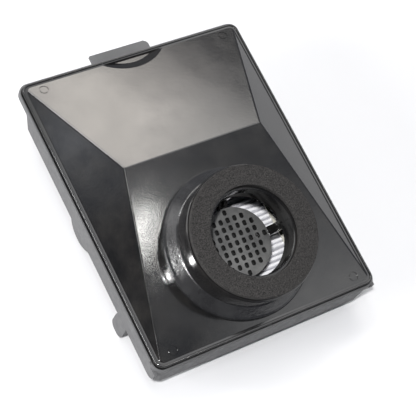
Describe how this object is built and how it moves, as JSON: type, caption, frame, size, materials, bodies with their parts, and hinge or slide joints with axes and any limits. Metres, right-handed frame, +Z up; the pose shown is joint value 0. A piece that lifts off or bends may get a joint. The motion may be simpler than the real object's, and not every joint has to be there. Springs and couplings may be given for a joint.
{
  "type": "air filter housing",
  "caption": "Rectangular filter housing: hipped cover with a round inlet collar and foam seal, on a flanged tray that holds a pleated paper element.",
  "frame": {"origin": "centre of the overall length and width, at the level of the box rim and peg ends that the housing stands on", "axes": "+Z up out of the cover, +Y towards the pull tab, +X to the right seen from the inlet end"},
  "size_m": [0.1422, 0.1844, 0.0687],
  "materials": {
    "tray_plastic": "fine matt texture",
    "cover_plastic": "glossy",
    "disc_plastic": "satin",
    "gasket_foam": "fine open-cell foam",
    "seal_rubber": "matt",
    "filter_paper": "fibrous, matt",
    "frame_plastic": "matt",
    "glue": "translucent glue"
  },
  "bodies": {
    "tray": {"tray_flange": "tray_plastic", "tray_box": "tray_plastic", "exhaust_grille": "tray_plastic", "front_skirt": "tray_plastic", "side_rail_left": "tray_plastic", "side_rail_right": "tray_plastic", "locating_peg_left": "tray_plastic", "locating_peg_right": "tray_plastic", "half_round_ear_left": "tray_plastic", "half_round_ear_right": "tray_plastic", "pull_tab": "tray_plastic", "flange_gussets": "tray_plastic"},
    "element": {"pleated_media": "filter_paper", "media_beads": "glue", "element_frame": "frame_plastic", "element_seal": "seal_rubber"},
    "cover": {"cover_rim": "cover_plastic", "cover_roof": "cover_plastic", "cover_pins": "cover_plastic", "hold_down_ribs": "cover_plastic", "inlet_base_ring": "cover_plastic", "inlet_collar": "cover_plastic", "gasket_adhesive": "glue", "gasket_ring": "gasket_foam", "deflector_disc": "disc_plastic", "deflector_spokes": "cover_plastic"}
  },
  "joints": [
    {"name": "element_lift", "type": "slide", "parent": "tray", "child": "element", "axis": [0, 0, 1], "range_m": [0, 0.035]},
    {"name": "cover_lift", "type": "slide", "parent": "element", "child": "cover", "axis": [0, 0, 1], "range_m": [0, 0.06]}
  ]
}
